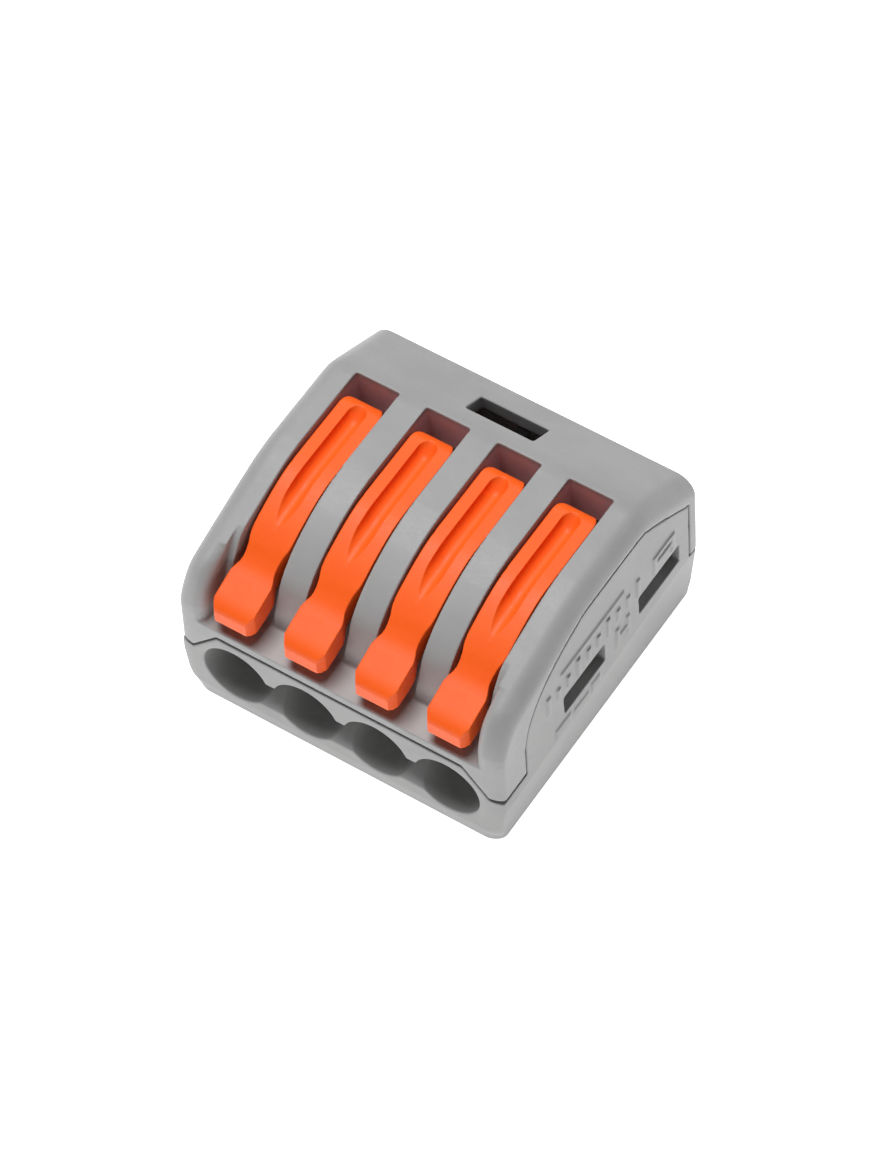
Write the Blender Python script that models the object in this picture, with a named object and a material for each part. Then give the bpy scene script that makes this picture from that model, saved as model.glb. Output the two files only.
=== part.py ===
"""Four-way lever wire connector: two-part housing, four levers on trunnions,
four cage-clamp springs and one comb-shaped busbar.

Frame: origin at the centre of the footprint, on the underside. +Z is up, the
wire entries face -Y and the four ways are spread along X. Metres throughout;
lengths are written in millimetres times MM.
"""
import math

import bmesh
import bpy
from mathutils import Matrix, Vector

MM = 0.001

# Driving dimensions, in millimetres
PITCH = 5.0                      # way to way
WAYS = 4
HALF_W = 11.45                   # half of the housing's width
FRONT_Y = -10.9
REAR_Y = 10.9
ROOF_Z = 14.5
EDGE_R = 1.25                    # rounding between the roof and the side walls
BASE_CORNER_R = 0.7              # depth of the rounding of the base's upright front corners
COVER_CORNER_R = 0.5             # the same on the cover
EDGE_STEPS = 6
CREASE_Z = 4.4                   # widest level half way back: the sides lean in above and below it
CREASE_SLOPE = 0.055             # the crease rises towards the rear
DRAFT = 0.018                    # share of the half width lost between the crease and the roof
FOOT_TAPER = 0.042               # share lost between the crease and the underside
TOE_Z = 1.35                     # the front and rear faces lean in below this level
TOE_TAPER = 0.027

PARTING_Z = 7.05                 # level of the front joint line
DIP_Z = 4.95                     # level of the joint line at the front corners
DIP_X0 = 8.65                    # the joint line starts to fall here
DIP_X1 = 10.5                    # and is level again from here
SPLIT_Y = -8.15                  # upright stretch of the joint line on each side
JOINT_GAP = 0.2                  # gap left between base and cover
SKIRT_Y = 10.13                  # the cover wraps round the rear of the side walls from here
SKIRT_Z = 4.95                   # and reaches down to here

WALL_IN = 10.35                  # inner face of the base's side walls
SKIRT_OUT = 10.15                # outer face of what the cover hangs inside them
FLOOR_Z = 1.2
BLOCK_Y = -4.5                   # back of the solid block that holds the wire entries
REAR_IN = 9.8                    # inner face of the rear wall

ENTRY_Z = 4.0                    # axis of the wire entries
ENTRY_R = 2.35
CHANNEL_R = 1.75
FUNNEL_Y0 = -7.6
FUNNEL_Y1 = -5.6
WEB_RAMP = [                     # the webs between the entries start with this ramp
    (FRONT_Y, 2.3), (-10.6, 2.62), (-10.0, 3.05), (-9.2, 3.5), (-8.4, 3.95), (-8.1, 4.4),
]
WEB_TOP = 4.75                   # and stop under this level

SLOT_HALF = 1.55                 # half width of a lever slot
SLOT_REAR_Y = 5.55
LEDGE_Z = 7.85                   # ledge under the lever tips
DECK_Y = -2.6                    # rear end of the sloping deck under the lever arms
DECK_Z = 11.1
SEAT_Z = 11.45                   # underside of the ribs
POCKET_X = 9.5                   # the cheeks stand back to here around the lever tips

PIVOT_Y = 1.8
PIVOT_Z = 11.3
TRUNNION_R = 0.9
TRUNNION_CLEAR = 0.05
TRUNNION_HALF = 1.93             # half length over both trunnions

ARM_HALF = 1.4
WAIST_HALF = 1.16
PADDLE_HALF = 1.45
TIP_HALF = 1.12
LEVER_TIP_Y = -10.85
HEEL_Y = 3.4                     # centre of the rounding between top and heel, seen from the side
HEEL_Z = 13.25
HEEL_R = 0.85
HEEL_CORNER = 0.9                # rounding of the heel's corners in plan
GROOVE_Y0 = -5.6
GROOVE_Y1 = 3.7
GROOVE_HALF = 0.56
GROOVE_DEPTH = 0.42

STRIP_T = 0.35                   # spring strip
STRIP_HALF = 1.7
BUS_Z0 = 5.7
BUS_Z1 = 6.5
BUS_HALF = 8.95

WINDOWS_Y = ((-3.95, 0.55), (4.4, 8.95))   # latch windows in each side wall
WINDOW_Z = (5.9, 7.5)
TEST_SLOT = (-2.4, 2.4, 7.1, 8.9)
MARK_RISE = 0.08                 # height of the raised marks above the side wall

WAY_X = [PITCH * (i - (WAYS - 1) / 2) for i in range(WAYS)]
RIB_X = [PITCH * (i - (WAYS - 2) / 2) for i in range(WAYS - 1)]

# Front of the roof seen from the side, from the upright front face up to the roof
ARCH = [
    (-10.87, 9.2), (-10.65, 10.2), (-10.2, 11.2), (-9.5, 11.9), (-8.4, 12.35), (-6.2, 13.1),
    (-4.0, 13.8), (-2.2, 14.3), (-0.6, ROOF_Z),
]
# Rear of the roof, down to the rear wall; the last slope runs on past the wall
REAR_ARCH = [(5.1, ROOF_Z), (5.8, 14.4), (6.6, 14.05), (REAR_Y, 11.72), (13.0, 10.56)]
# Front profile of the ribs, from their foot on the ledge up to the roof
RIB_FRONT = [
    (-8.8, LEDGE_Z), (-8.6, 8.6), (-8.35, 9.3), (-8.05, 10.1), (-7.7, 10.9), (-7.1, 11.7),
    (-6.5, 12.3), (-5.65, 12.9), (-4.95, 13.3), (-4.07, 13.72), (-3.3, 14.03),
]
# Joint line between base and cover on the side, from its upright stretch to the rear wall
SEAM = [
    (SPLIT_Y, 7.6), (-7.8, 8.9), (-7.2, 9.9), (-6.3, 10.9), (-5.0, 11.75), (-3.6, 12.4),
    (-2.0, 12.9), (-1.0, 13.1), (4.6, 13.1), (5.6, 12.85), (6.8, 12.2), (8.6, 11.1),
    (9.55, 10.45), (10.05, 10.2),
]
# Front profile of the narrow strip between the outer slots and the cheeks
STRIP_FRONT = [
    (-8.95, LEDGE_Z), (-8.75, 8.6), (-8.5, 9.4), (-8.25, 10.3), (-7.95, 11.2), (-7.5, 12.0),
    (-7.1, 12.6), (-6.6, 12.97),
]


def link(name, bm):
    """Turn a bmesh in millimetres into a scene object in metres."""
    bmesh.ops.recalc_face_normals(bm, faces=bm.faces)
    bmesh.ops.transform(bm, matrix=Matrix.Scale(MM, 4), verts=bm.verts)
    mesh = bpy.data.meshes.new(name)
    bm.to_mesh(mesh)
    bm.free()
    obj = bpy.data.objects.new(name, mesh)
    bpy.context.scene.collection.objects.link(obj)
    return obj


def prism_bm(points, axis, low, high):
    """Extrude a closed outline along X, Y or Z between two coordinates.

    The outline's pairs are (y, z) for X, (x, z) for Y and (x, y) for Z.
    """
    place = {
        "X": lambda u, v, w: (w, u, v),
        "Y": lambda u, v, w: (u, w, v),
        "Z": lambda u, v, w: (u, v, w),
    }[axis]
    bm = bmesh.new()
    face = bm.faces.new([bm.verts.new(place(u, v, low)) for u, v in points])
    grown = bmesh.ops.extrude_face_region(bm, geom=[face])
    moved = [g for g in grown["geom"] if isinstance(g, bmesh.types.BMVert)]
    bmesh.ops.translate(bm, verts=moved, vec=Vector(place(0.0, 0.0, high - low)))
    return bm


def prism(name, points, axis, low, high):
    return link(name, prism_bm(points, axis, low, high))


def box(name, x0, x1, y0, y1, z0, z1):
    return prism(name, [(x0, y0), (x1, y0), (x1, y1), (x0, y1)], "Z", z0, z1)


def circle(cu, cv, r, count=32, start=0.0, end=360.0):
    """Points on a circle; a full turn leaves out the repeated last point."""
    full = abs(end - start) >= 360.0
    steps = count if full else count + 1
    turns = [math.radians(start + (end - start) * i / count) for i in range(steps)]
    return [(cu + r * math.cos(t), cv + r * math.sin(t)) for t in turns]


def boolean(obj, cutter, operation="DIFFERENCE"):
    mod = obj.modifiers.new(operation.title(), "BOOLEAN")
    mod.operation = operation
    mod.solver = "EXACT"
    mod.object = cutter
    cutter.hide_render = True
    cutter.display_type = "WIRE"


def rings_bm(rings):
    """Closed body through a row of matching rings."""
    bm = bmesh.new()
    rows = [[bm.verts.new(p) for p in ring] for ring in rings]
    bm.faces.new(rows[0])
    bm.faces.new(list(reversed(rows[-1])))
    for a, b in zip(rows, rows[1:]):
        for i in range(len(a)):
            j = (i + 1) % len(a)
            bm.faces.new((a[i], b[i], b[j], a[j]))
    return bm


def curve_through(points, steps):
    """Smooth curve through the points, ends kept."""
    out = []
    last = len(points) - 1
    for i in range(last):
        p0 = Vector(points[max(i - 1, 0)])
        p1 = Vector(points[i])
        p2 = Vector(points[i + 1])
        p3 = Vector(points[min(i + 2, last)])
        for k in range(steps):
            t = k / steps
            slope = (p2 - p0) * t
            bend = (2 * p0 - 5 * p1 + 4 * p2 - p3) * t * t
            twist = (3 * p1 - p0 - 3 * p2 + p3) * t * t * t
            out.append(tuple((2 * p1 + slope + bend + twist) / 2))
    out.append(tuple(points[-1]))
    return out


def ease(t):
    """Smooth step from 0 to 1."""
    t = min(1.0, max(0.0, t))
    return t * t * (3 - 2 * t)


def material(name, color, roughness, metallic=0.0):
    mat = bpy.data.materials.new(name)
    mat.use_nodes = True
    shader = mat.node_tree.nodes["Principled BSDF"]
    shader.inputs["Base Color"].default_value = (*color, 1.0)
    shader.inputs["Roughness"].default_value = roughness
    shader.inputs["Metallic"].default_value = metallic
    return mat


def finish(obj, mat):
    obj.data.materials.clear()
    obj.data.materials.append(mat)
    obj.data.shade_smooth()
    obj.data.set_sharp_from_angle(angle=math.radians(30))


def outline():
    """Side view of the closed housing, carried on below its foot and past its rear wall."""
    rear = curve_through(REAR_ARCH[:3], 2) + REAR_ARCH[3:]
    return ([(FRONT_Y, -4.0), (FRONT_Y, 4.0), (FRONT_Y, 8.5)] + curve_through(ARCH, 2) + rear
            + [(13.0, -4.0)])


def inward(points):
    """Unit vector into the outline at each of its points."""
    last = len(points) - 1
    vectors = []
    for i, point in enumerate(points):
        here = Vector(point)
        before = (here - Vector(points[max(i - 1, 0)])).normalized()
        after = (Vector(points[min(i + 1, last)]) - here).normalized()
        along = before + after
        vectors.append(Vector((along.y, -along.x)).normalized())
    return vectors


def cut_through(bm, point, normal):
    geom = list(bm.verts) + list(bm.edges) + list(bm.faces)
    bmesh.ops.bisect_plane(bm, geom=geom, plane_co=point, plane_no=normal)


def trim(bm, point, normal):
    """Keep the side the normal points to and close the cut."""
    geom = list(bm.verts) + list(bm.edges) + list(bm.faces)
    cut = bmesh.ops.bisect_plane(bm, geom=geom, plane_co=point, plane_no=normal,
                                 clear_inner=True)
    rim = [e for e in cut["geom_cut"] if isinstance(e, bmesh.types.BMEdge)]
    bmesh.ops.contextual_create(bm, geom=rim)


def envelope(name, corner):
    """Outer body of the closed housing: rounded roof sides and front corners, drafted walls."""
    side = outline()
    radii = []
    for y, z in side:
        rise = ease((z - 8.0) / 4.2) if y < 0 else 1.0
        radii.append(corner + (EDGE_R - corner) * rise)
    rows = []
    for i in range(EDGE_STEPS + 1):
        turn = math.pi / 2 * i / EDGE_STEPS
        inset = 1 - math.sin(turn)
        ring = [(p[0] + n.x * r * inset, p[1] + n.y * r * inset)
                for p, n, r in zip(side, inward(side), radii)]
        rows.append((HALF_W - EDGE_R * (1 - math.cos(turn)), ring))
    rows = [(-x, ring) for x, ring in rows] + [(x, ring) for x, ring in reversed(rows)]
    bm = rings_bm([[(x, y, z) for y, z in ring] for x, ring in rows])
    trim(bm, (0, REAR_Y, 0), (0, -1, 0))
    cut_through(bm, (0, 0, CREASE_Z), (0, -CREASE_SLOPE, 1))
    cut_through(bm, (0, 0, TOE_Z), (0, 0, 1))
    trim(bm, (0, 0, 0), (0, 0, 1))
    for v in bm.verts:
        v.co.x *= side_wall(v.co.y, v.co.z) / HALF_W
        v.co.y *= 1.0 - TOE_TAPER * max(0.0, TOE_Z - v.co.z) / TOE_Z
    return link(name, bm)


def side_wall(y, z):
    """Half width of the housing at a point of its side wall."""
    crease = CREASE_Z + CREASE_SLOPE * y
    above = max(0.0, z - crease) / (ROOF_Z - crease)
    below = max(0.0, crease - z) / crease
    return HALF_W * (1.0 - DRAFT * above - FOOT_TAPER * below)


def seam_line(gap, rear):
    """Joint line on the side wall, moved up by gap, from its upright stretch to y = rear."""
    start = SPLIT_Y - gap
    line = [(y, z + gap) for y, z in SEAM if start + 0.02 < y < rear - 0.02]
    return [(start, 7.6)] + line + [(rear, line[-1][1] - 0.04)]


def front_joint(gap, top):
    """Front view of the joint line, closed far above or far below it."""
    line = [(-13.0, DIP_Z), (-DIP_X1, DIP_Z), (-DIP_X0, PARTING_Z),
            (DIP_X0, PARTING_Z), (DIP_X1, DIP_Z), (13.0, DIP_Z)]
    return [(x, z + gap) for x, z in line] + [(13.0, top), (-13.0, top)]


def entry_cutter(name, x):
    """Wire entry: round mouth, cone, then a straight channel into the chamber."""
    stations = [(FRONT_Y - 1.0, ENTRY_R), (FUNNEL_Y0, ENTRY_R - 0.1), (FUNNEL_Y1, CHANNEL_R),
                (BLOCK_Y + 1.0, CHANNEL_R)]
    return link(name, rings_bm([[(u, y, v) for u, v in circle(x, ENTRY_Z, r, 32)]
                                for y, r in stations]))


def build_base(mat):
    """Lower housing: floor, side and rear walls, entry block, partitions and bearing posts."""
    base = envelope("base", BASE_CORNER_R)
    half_gap = JOINT_GAP / 2
    split = SPLIT_Y + half_gap
    boolean(base, prism("cut_base_front", front_joint(-half_gap, 17.0), "Y", -13.0, split))
    top = seam_line(-half_gap, 12.5) + [(12.5, 17.0), (split, 17.0)]
    boolean(base, prism("cut_base_top", top, "X", -13.0, 13.0))
    rear = SKIRT_Y - half_gap
    under = SKIRT_Z - half_gap
    boolean(base, box("cut_base_rear", -13.0, 13.0, rear, 12.0, under, 17.0))
    upper = [(-9.0, PARTING_Z - half_gap), (-2.6, PARTING_Z - half_gap), (-2.6, 10.2),
             (12.0, 10.2), (12.0, 17.0), (-9.0, 17.0)]
    boolean(base, prism("cut_base_upper", upper, "X", -WALL_IN, WALL_IN))
    boolean(base, box("cut_base_behind", -WALL_IN, WALL_IN, REAR_IN, 12.0, under, 17.0))
    for i, x in enumerate(WAY_X):
        x0 = -WALL_IN if i == 0 else x - 2.1
        x1 = WALL_IN if i == WAYS - 1 else x + 2.1
        boolean(base, box(f"cut_chamber_{i}", x0, x1, BLOCK_Y, REAR_IN, FLOOR_Z, 12.0))
        boolean(base, entry_cutter(f"cut_entry_{i}", x))
    web = [(-13.0, 2.3)] + WEB_RAMP + [(-8.1, WEB_TOP), (-13.0, WEB_TOP)]
    boolean(base, prism("cut_webs", web, "X", WAY_X[0], WAY_X[-1]))
    for i, x in enumerate(RIB_X):
        boolean(base, box(f"add_post_{i}", x - 0.95, x + 0.95, PIVOT_Y - 1.35, PIVOT_Y + 1.35,
                          9.75, 11.15), "UNION")
    for side in (-1, 1):
        x0, x1 = sorted((side * 9.1, side * (WALL_IN + 0.3)))
        boolean(base, box(f"add_pad_{side + 1}", x0, x1, PIVOT_Y - 1.35, PIVOT_Y + 1.35,
                          9.75, 11.15), "UNION")
    seat = circle(PIVOT_Y, PIVOT_Z, TRUNNION_R + TRUNNION_CLEAR, 24)
    boolean(base, prism("cut_seats_base", seat, "X", -9.6, 9.6))
    boolean(base, box("cut_busbar", -9.0, 9.0, 3.45, 6.35, BUS_Z0 - 0.3, 12.0))
    for i, (y0, y1) in enumerate(WINDOWS_Y):
        for side in (-1, 1):
            x0, x1 = sorted((side * (WALL_IN - 0.2), side * 13.0))
            boolean(base, box(f"cut_window_{i}_{side + 1}", x0, x1, y0, y1, *WINDOW_Z))
    for i, (y, z, dy, dz) in enumerate(gauge_marks()):
        for side in (-1, 1):
            x0, x1 = sorted((side * 11.0, side * (side_wall(y, z) + MARK_RISE)))
            boolean(base, box(f"add_mark_{i}_{side + 1}", x0, x1, y - dy / 2, y + dy / 2,
                              z - dz / 2, z + dz / 2), "UNION")
    finish(base, mat)
    return base


def gauge_marks():
    """Raised strip-length ticks on each side wall: (y, z, length, height)."""
    ticks = []
    for i in range(10):
        tall = 1.7 if i % 3 == 0 else 1.0
        ticks.append((-5.6 + 1.1 * i, 8.75, 0.34, tall))
    return ticks


def build_cover(mat):
    """Upper housing: roof with four slots, ribs, cheeks, front ledge, test slot and latches."""
    cover = envelope("cover", COVER_CORNER_R)
    half_gap = JOINT_GAP / 2
    split = SPLIT_Y - half_gap
    boolean(cover, prism("cut_cover_front", front_joint(half_gap, -2.0), "Y", -13.0, split + 0.4))
    rear = SKIRT_Y + half_gap
    boolean(cover, box("cut_cover_low", -13.0, 13.0, split, rear, -2.0, PARTING_Z + half_gap))
    boolean(cover, box("cut_cover_rear", -13.0, 13.0, rear - 0.5, 13.0, -2.0, SKIRT_Z + half_gap))
    wall = seam_line(half_gap, rear) + [(rear, -1.0), (split, -1.0)]
    for side in (-1, 1):
        x0, x1 = sorted((side * SKIRT_OUT, side * 13.0))
        boolean(cover, prism(f"cut_wall_{side + 1}", wall, "X", x0, x1))
    inside = [(-6.0, 6.5), (-6.0, 7.1), (-2.9, 9.5), (-2.9, SEAT_Z), (6.6, SEAT_Z), (6.6, 12.6),
              (rear, 11.1), (rear, -2.0), (-6.0, -2.0)]
    boolean(cover, prism("cut_inside", inside, "X", -SKIRT_OUT, SKIRT_OUT))
    slot = [(-13.0, LEDGE_Z), (-8.8, LEDGE_Z), (DECK_Y, DECK_Z), (DECK_Y, 10.0),
            (SLOT_REAR_Y, 10.0), (SLOT_REAR_Y, 17.0), (-13.0, 17.0)]
    for i, x in enumerate(WAY_X):
        boolean(cover, prism(f"cut_slot_{i}", slot, "X", x - SLOT_HALF, x + SLOT_HALF))
    front = [(-13.0, LEDGE_Z)] + RIB_FRONT + [(-3.3, 17.0), (-13.0, 17.0)]
    boolean(cover, prism("cut_rib_front", front, "X", -9.05, 9.05))
    strip = [(-13.0, LEDGE_Z)] + STRIP_FRONT + [(-6.6, 17.0), (-13.0, 17.0)]
    for side in (-1, 1):
        x0, x1 = sorted((side * 8.9, side * POCKET_X))
        boolean(cover, prism(f"cut_strip_{side + 1}", strip, "X", x0, x1))
    x0, x1, y0, y1 = TEST_SLOT
    boolean(cover, box("cut_test_slot", x0, x1, y0, y1, 8.0, 17.0))
    seat = circle(PIVOT_Y, PIVOT_Z, TRUNNION_R + TRUNNION_CLEAR, 24)
    boolean(cover, prism("cut_seats_cover", seat, "X", -9.6, 9.6))
    for i, (y0, y1) in enumerate(WINDOWS_Y):
        for side in (-1, 1):
            latch = [(9.35, 12.0), (9.35, 5.6), (9.75, 5.6), (10.9, 6.75), (10.9, 7.2),
                     (10.05, 7.2), (10.05, 12.0)]
            boolean(cover, prism(f"add_latch_{i}_{side + 1}", [(side * x, z) for x, z in latch],
                                 "Y", y0 + 0.3, y1 - 1.0), "UNION")
    finish(cover, mat)
    return cover


LEVER_TOP = [
    (LEVER_TIP_Y, 9.0), (LEVER_TIP_Y, 9.9), (-10.7, 10.2), (-10.2, 10.52), (-9.0, 10.95),
    (-8.0, 11.3), (-7.3, 11.7), (-6.5, 12.3), (-5.4, 12.92), (-4.3, 13.42), (-3.2, 13.82),
    (-2.2, 14.04), (-1.0, 14.1),
]
LEVER_UNDER = [
    (0.1, 11.9), (-2.0, 12.2), (-3.5, 11.85), (-5.0, 11.2), (-6.2, 10.55), (-7.3, 9.85),
    (-8.3, 9.35), (-9.5, 8.95), (-10.6, 8.8),
]


def lever_outline():
    """Side view of a closed lever: tip, arched top, heel corner, hub and underside."""
    heel = circle(HEEL_Y, HEEL_Z, HEEL_R, 5, 90.0, 0.0)
    cam = circle(3.3, 10.65, 0.8, 4, 0.0, -90.0)
    hub = circle(PIVOT_Y, PIVOT_Z, 1.45, 6, -90.0, -180.0)
    return LEVER_TOP + heel + cam + hub + LEVER_UNDER


def lever_plan():
    """Plan view of a lever: rounded heel, straight arm, waist, wider tip with cut corners."""
    centre = HEEL_Y + HEEL_R + 0.15 - HEEL_CORNER
    half = circle(ARM_HALF - HEEL_CORNER, centre, HEEL_CORNER, 5, 90.0, 0.0)
    half += [(ARM_HALF, -6.0), (WAIST_HALF, -6.9), (WAIST_HALF, -7.6), (PADDLE_HALF, -8.4),
             (PADDLE_HALF, -10.3), (TIP_HALF, LEVER_TIP_Y - 0.01)]
    return half + [(-x, y) for x, y in reversed(half)]


def top_at(y):
    """Level of the lever's top at y."""
    points = LEVER_TOP[1:] + [(HEEL_Y + HEEL_R, 14.1)]
    for (ya, za), (yb, zb) in zip(points, points[1:]):
        if ya <= y <= yb:
            return za + (zb - za) * (y - ya) / (yb - ya)
    return points[-1][1]


def groove_cutter():
    """Round-bottomed finger groove along the top of the lever, rising out at both ends."""
    radius = (GROOVE_HALF ** 2 + GROOVE_DEPTH ** 2) / (2 * GROOVE_DEPTH)
    count = 16
    rings = []
    for i in range(count + 1):
        y = GROOVE_Y0 + (GROOVE_Y1 - GROOVE_Y0) * i / count
        sink = ease((y - GROOVE_Y0) / 3.4 + 0.03) * ease((GROOVE_Y1 - y) / 1.3 + 0.03)
        z = top_at(y) + radius - GROOVE_DEPTH * sink
        rings.append([(u, y, v) for u, v in circle(0.0, z, radius, 20, 9.0, 369.0)])
    return link("cut_groove", rings_bm(rings))


def lever_mesh():
    """One lever in its own frame, with the pivot axis as local X."""
    shift = Matrix.Translation((0.0, -PIVOT_Y * MM, -PIVOT_Z * MM))
    body = prism("lever_body", lever_outline(), "X", -2.0, 2.0)
    boolean(body, prism("trim_plan", lever_plan(), "Z", 5.0, 17.0), "INTERSECT")
    boolean(body, groove_cutter())
    bm = prism_bm(circle(PIVOT_Y, PIVOT_Z, TRUNNION_R, 24), "X", -TRUNNION_HALF, TRUNNION_HALF)
    boolean(body, link("add_trunnion", bm), "UNION")
    bpy.context.view_layer.update()
    evaluated = body.evaluated_get(bpy.context.evaluated_depsgraph_get())
    mesh = bpy.data.meshes.new_from_object(evaluated)
    mesh.name = "lever"
    mesh.transform(shift)
    for obj in [body] + [m.object for m in body.modifiers]:
        bpy.data.objects.remove(obj)
    return mesh


def build_levers(mat):
    mesh = lever_mesh()
    levers = []
    for i, x in enumerate(WAY_X):
        lever = bpy.data.objects.new(f"lever_{i + 1}", mesh)
        lever.location = (x * MM, PIVOT_Y * MM, PIVOT_Z * MM)
        bpy.context.scene.collection.objects.link(lever)
        levers.append(lever)
    finish(levers[0], mat)
    return levers


def spring_path():
    """Centre line of the spring strip in side view, from the busbar to the clamping end."""
    return ([(3.4, 7.0), (5.4, 7.0)] + circle(5.4, 8.2, 1.2, 8, -75.0, 75.0)
            + [(5.4, 9.4), (2.5, 9.4), (0.0, 9.35)] + circle(-0.6, 8.75, 0.6, 4, 80.0, 180.0)
            + [(-1.2, 4.5)])


def strip_outline(path, thickness):
    """Widen a centre line into a closed strip outline with mitred corners."""
    left, right = [], []
    for i, (y, z) in enumerate(path):
        before = Vector(path[max(i - 1, 0)])
        after = Vector(path[min(i + 1, len(path) - 1)])
        here = Vector((y, z))
        if i == 0:
            before = here
        if i == len(path) - 1:
            after = here
        a = (here - before).normalized() if (here - before).length else None
        b = (after - here).normalized() if (after - here).length else None
        a = a or b
        b = b or a
        normal = Vector((-(a + b).y, (a + b).x)).normalized()
        reach = thickness / 2 / max(0.5, normal.dot(Vector((-a.y, a.x))))
        left.append(tuple(here + normal * reach))
        right.append(tuple(here - normal * reach))
    return left + right[::-1]


def build_springs(mat):
    springs = []
    for i, x in enumerate(WAY_X):
        outline = strip_outline(spring_path(), STRIP_T)
        spring = prism(f"cage_spring_{i + 1}", outline, "X", x - STRIP_HALF, x + STRIP_HALF)
        boolean(spring, box(f"cut_cage_{i}", x - 1.3, x + 1.3, -2.0, -0.4, 5.35, 8.1))
        finish(spring, mat)
        springs.append(spring)
    return springs


def build_busbar(mat):
    """Current bar: a rail across all ways with one contact tongue per way."""
    points = [(BUS_HALF, 3.6), (BUS_HALF, 6.2), (-BUS_HALF, 6.2), (-BUS_HALF, 3.6)]
    for x in WAY_X:
        points += [(x - 1.1, 3.6), (x - 1.1, -1.9), (x - 0.8, -2.2), (x + 0.8, -2.2),
                   (x + 1.1, -1.9), (x + 1.1, 3.6)]
    bar = prism("busbar", points, "Z", BUS_Z0, BUS_Z1)
    finish(bar, mat)
    return bar


def main():
    for obj in list(bpy.data.objects):
        bpy.data.objects.remove(obj)
    grey = material("housing_grey", (0.36, 0.38, 0.385), 0.5)
    grey_base = material("base_grey", (0.37, 0.39, 0.39), 0.5)
    orange = material("lever_orange", (1.0, 0.13, 0.02), 0.42)
    steel = material("spring_steel", (0.6, 0.6, 0.6), 0.3, 1.0)
    tin = material("tinned_copper", (0.72, 0.71, 0.68), 0.35, 1.0)
    build_base(grey_base)
    build_cover(grey)
    build_levers(orange)
    build_springs(steel)
    build_busbar(tin)


main()
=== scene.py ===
"""Lever wire connector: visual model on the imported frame."""
import math

import bmesh
import bpy
from mathutils import Matrix, Vector

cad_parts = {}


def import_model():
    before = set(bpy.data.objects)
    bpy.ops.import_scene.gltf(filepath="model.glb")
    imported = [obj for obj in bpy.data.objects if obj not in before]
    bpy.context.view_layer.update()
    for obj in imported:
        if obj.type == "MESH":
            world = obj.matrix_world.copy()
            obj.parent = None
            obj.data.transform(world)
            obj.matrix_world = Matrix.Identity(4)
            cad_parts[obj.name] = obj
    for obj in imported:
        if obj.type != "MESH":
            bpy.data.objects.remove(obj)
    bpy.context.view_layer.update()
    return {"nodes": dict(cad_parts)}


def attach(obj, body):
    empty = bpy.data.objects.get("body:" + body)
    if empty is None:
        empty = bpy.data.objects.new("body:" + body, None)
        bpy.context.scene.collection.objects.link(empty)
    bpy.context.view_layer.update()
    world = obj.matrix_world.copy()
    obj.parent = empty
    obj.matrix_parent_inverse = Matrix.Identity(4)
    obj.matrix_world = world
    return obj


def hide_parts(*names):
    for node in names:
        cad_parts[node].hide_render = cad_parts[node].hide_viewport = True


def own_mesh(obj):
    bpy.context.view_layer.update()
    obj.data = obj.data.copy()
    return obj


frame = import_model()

MM = 0.001

# Lengths are in millimetres, X to the right, Y to the rear, Z up
PITCH = 5.0
WAY_X = [(i - 1.5) * PITCH for i in range(4)]
RIB_X = [(i - 1) * PITCH for i in range(3)]

# Outer body
HALF_W = 11.45
FRONT_Y, REAR_Y, ROOF_Z = -10.9, 10.9, 14.5
ARCH_FOOT_Z = 8.5                  # the front is upright up to here
EDGE_R = 1.25                      # fillet between roof and side walls
BASE_CORNER, COVER_CORNER = 0.3, 0.5   # rounding of the upright front corners
FOOT_R, FOOT_ROUND_Z = 0.9, 2.0    # the same corners at the foot, and where that starts
CORNER_Z, CORNER_GROWTH = 8.0, 4.2   # from here, over this height, they grow into the fillet
CREASE_Z, CREASE_SLOPE = 4.4, 0.055
DRAFT, FOOT_TAPER = 0.018, 0.042   # the width shrinks by these shares above and below the crease
TOE_Z, TOE_TAPER = 1.35, 0.027     # the same for the depth, below the toe's edge

# Joint between base and cover
PARTING_Z, DIP_Z, DIP_X0, DIP_X1 = 7.05, 4.95, 8.65, 10.5   # on the front, lower at its ends
SPLIT_Y, SPLIT_Z = -8.15, 7.6      # where the line on the side wall starts
JOINT_GAP, FRONT_GAP = 0.12, 0.22
SKIRT_Y, SKIRT_Z = 10.13, 4.95     # the cover wraps round the rear behind and above these
SKIRT_OUT = 10.15                  # half width of the cover's inside; nothing of it lies further
                                   # out below the joint line, apart from the rear skirt
SEAM_END_Y, SEAM_DROP = 12.5, 0.04   # end of the base's cut, and how far the line drops there
SEAM_CLEAR = 0.02                  # the line's points keep this far from its ends

# Base
WALL_IN, FLOOR_Z, BLOCK_Y, REAR_IN = 10.35, 1.2, -4.5, 9.8   # faces of the space inside
ENTRY_Z, ENTRY_R, CHANNEL_R, ENTRY_TAPER = 3.97, 2.32, 1.75, 0.1
FUNNEL_Y0, FUNNEL_Y1 = -7.6, -5.6
WEB_Z0, WEB_Z1 = 2.3, 4.75         # foot of the ramp and flat top of the opening in a web
PARTITION_Y, PARTITION_Z = -2.6, 10.2
CHAMBER_HALF, CHAMBER_TOP = 2.1, 12.0
POST_HALF, POST_DEPTH, POST_Z = 0.95, 1.35, (9.75, 11.15)
SIDE_POST_X = 9.1
BAR_ROOM = (-9.0, 9.0, 3.45, 6.35, 5.4, 12.0)   # passage for the busbar through the partitions
WINDOWS_Y = ((-3.95, 0.55), (4.4, 8.95))
WINDOW_Z = (5.9, 7.5)
MARK_RISE, MARK_ROOT_X = 0.09, 11.0

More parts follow.
